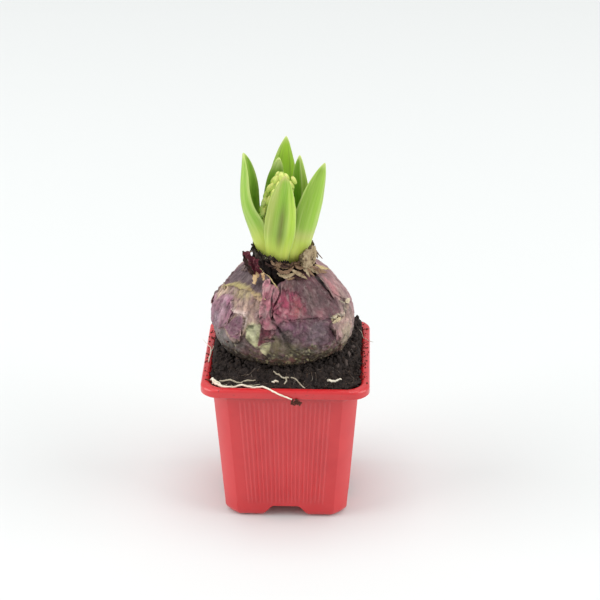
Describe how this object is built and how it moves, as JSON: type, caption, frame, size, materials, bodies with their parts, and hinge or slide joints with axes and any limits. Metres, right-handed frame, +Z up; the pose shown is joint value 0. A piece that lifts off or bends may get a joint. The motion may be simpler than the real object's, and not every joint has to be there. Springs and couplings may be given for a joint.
{
  "type": "potted hyacinth",
  "caption": "Young hyacinth with a torn-skinned bulb, channelled leaves and a green flower bud, in soil in a square ribbed plastic pot.",
  "frame": {"origin": "on the ground under the middle of the pot", "axes": "+Z up, along the plant; +X to the right and -Y towards the viewer of the front, square to the pot's sides"},
  "size_m": [0.07, 0.0717, 0.1587],
  "materials": {
    "pot_plastic": "satin",
    "potting_soil": "matte",
    "bulb_skin": "satin",
    "papery_skin": "matte",
    "leaf": "satin",
    "bud": "satin",
    "root": "satin"
  },
  "bodies": {
    "root": {"pot": "pot_plastic", "soil": "potting_soil", "bulb": "bulb_skin", "neck_collar": "papery_skin", "neck_flap_left": "papery_skin", "neck_flap_right": "papery_skin", "leaf_left": "leaf", "leaf_front": "leaf", "leaf_right": "leaf", "leaf_back": "leaf", "leaf_back_right": "leaf", "leaf_inner_left": "leaf", "flower_bud": "bud", "root_long": "root", "root_second": "root", "root_forked": "root", "root_hooked": "root", "root_stub": "root", "root_clod": "potting_soil"}
  },
  "joints": []
}
